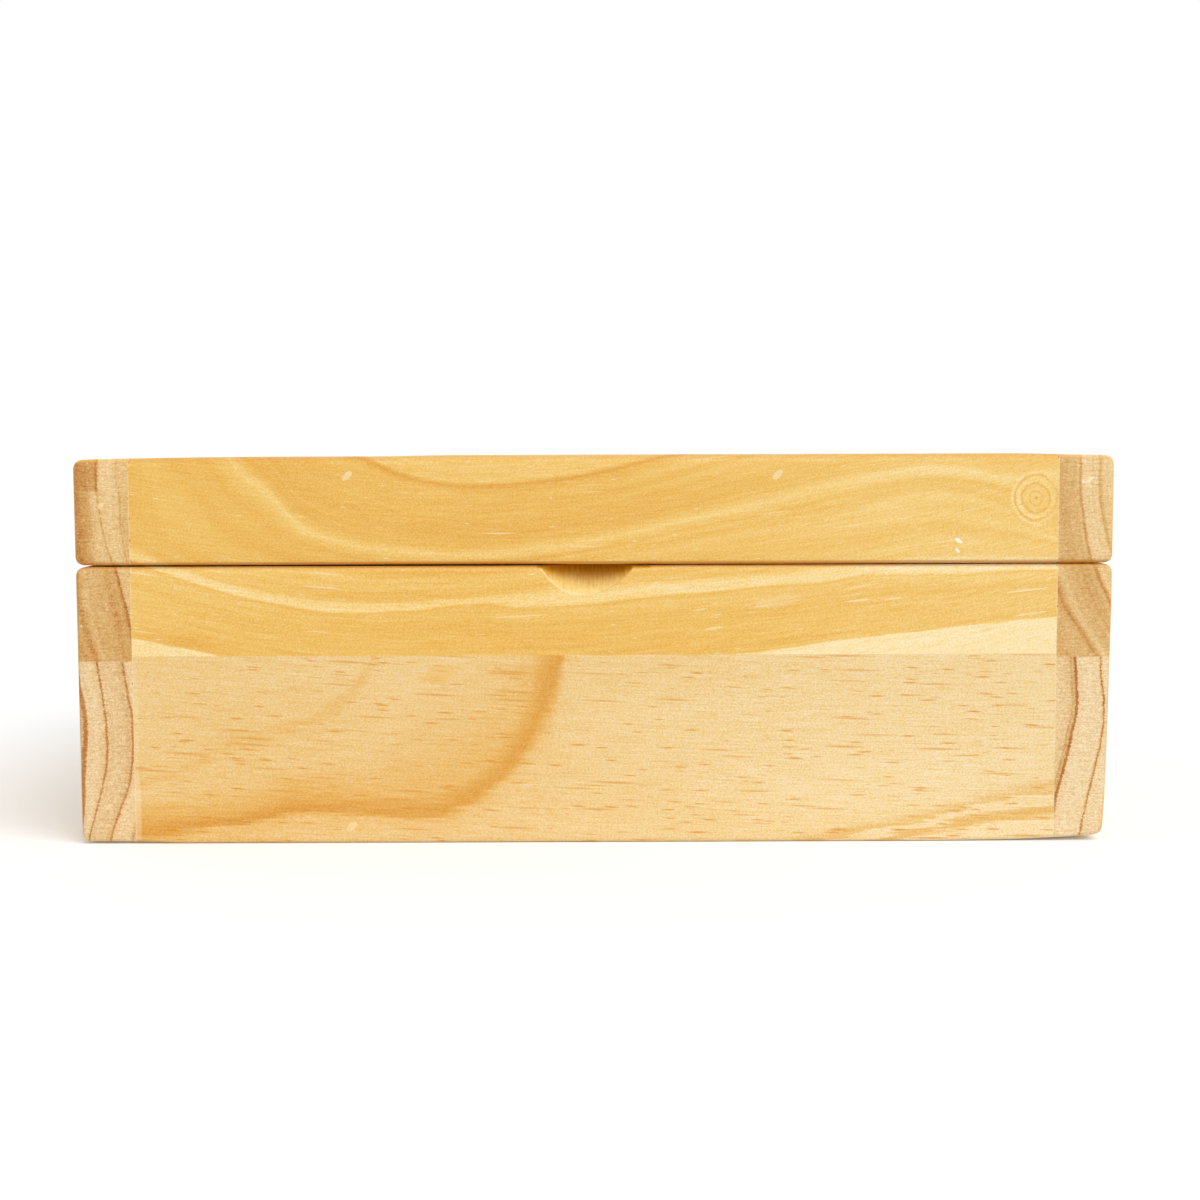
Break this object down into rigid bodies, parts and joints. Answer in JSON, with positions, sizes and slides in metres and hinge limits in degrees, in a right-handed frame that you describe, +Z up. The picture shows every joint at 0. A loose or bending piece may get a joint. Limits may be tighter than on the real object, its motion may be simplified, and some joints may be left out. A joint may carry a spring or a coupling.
{
  "type": "hinged wooden keepsake box",
  "caption": "Rectangular pine box with a sawn-off lid on back hinges, a scooped finger notch in the front wall, and filled brad holes.",
  "frame": {"origin": "centre of the wooden underside, on the surface the box stands on", "axes": "+Z up, -Y towards the front with the finger notch, +X to the right seen from the front"},
  "size_m": [0.3, 0.205, 0.1132],
  "materials": {
    "pine": "satin",
    "wood_filler": "matte",
    "brad_steel": "satin",
    "hinge_brass": "satin",
    "screw_brass": "satin"
  },
  "bodies": {
    "box_body": {"body_back_lower_board": "pine", "body_back_upper_board": "pine", "body_corner_brads": "brad_steel", "body_filler_plugs": "wood_filler", "body_front_lower_board": "pine", "body_front_upper_board": "pine", "body_left_lower_board": "pine", "body_left_upper_board": "pine", "body_right_lower_board": "pine", "body_right_upper_board": "pine", "bottom_front_board": "pine", "bottom_middle_board": "pine", "bottom_panel_brads": "brad_steel", "bottom_rear_board": "pine", "left_hinge_body_leaf": "hinge_brass", "left_hinge_body_screws": "screw_brass", "left_hinge_pin": "hinge_brass", "right_hinge_body_leaf": "hinge_brass", "right_hinge_body_screws": "screw_brass", "right_hinge_pin": "hinge_brass"},
    "lid": {"left_hinge_lid_leaf": "hinge_brass", "left_hinge_lid_screws": "screw_brass", "lid_back_board": "pine", "lid_corner_brads": "brad_steel", "lid_filler_plugs": "wood_filler", "lid_front_board": "pine", "lid_left_lower_board": "pine", "lid_left_upper_board": "pine", "lid_panel_brads": "brad_steel", "lid_right_lower_board": "pine", "lid_right_upper_board": "pine", "lid_top_front_board": "pine", "lid_top_middle_board": "pine", "lid_top_rear_board": "pine", "right_hinge_lid_leaf": "hinge_brass", "right_hinge_lid_screws": "screw_brass"}
  },
  "joints": [
    {"name": "lid_hinge", "type": "hinge", "parent": "box_body", "child": "lid", "pos_m": [0, 0.1025, 0.08138], "axis": [-1, 0, 0], "range_deg": [0, 188]}
  ]
}
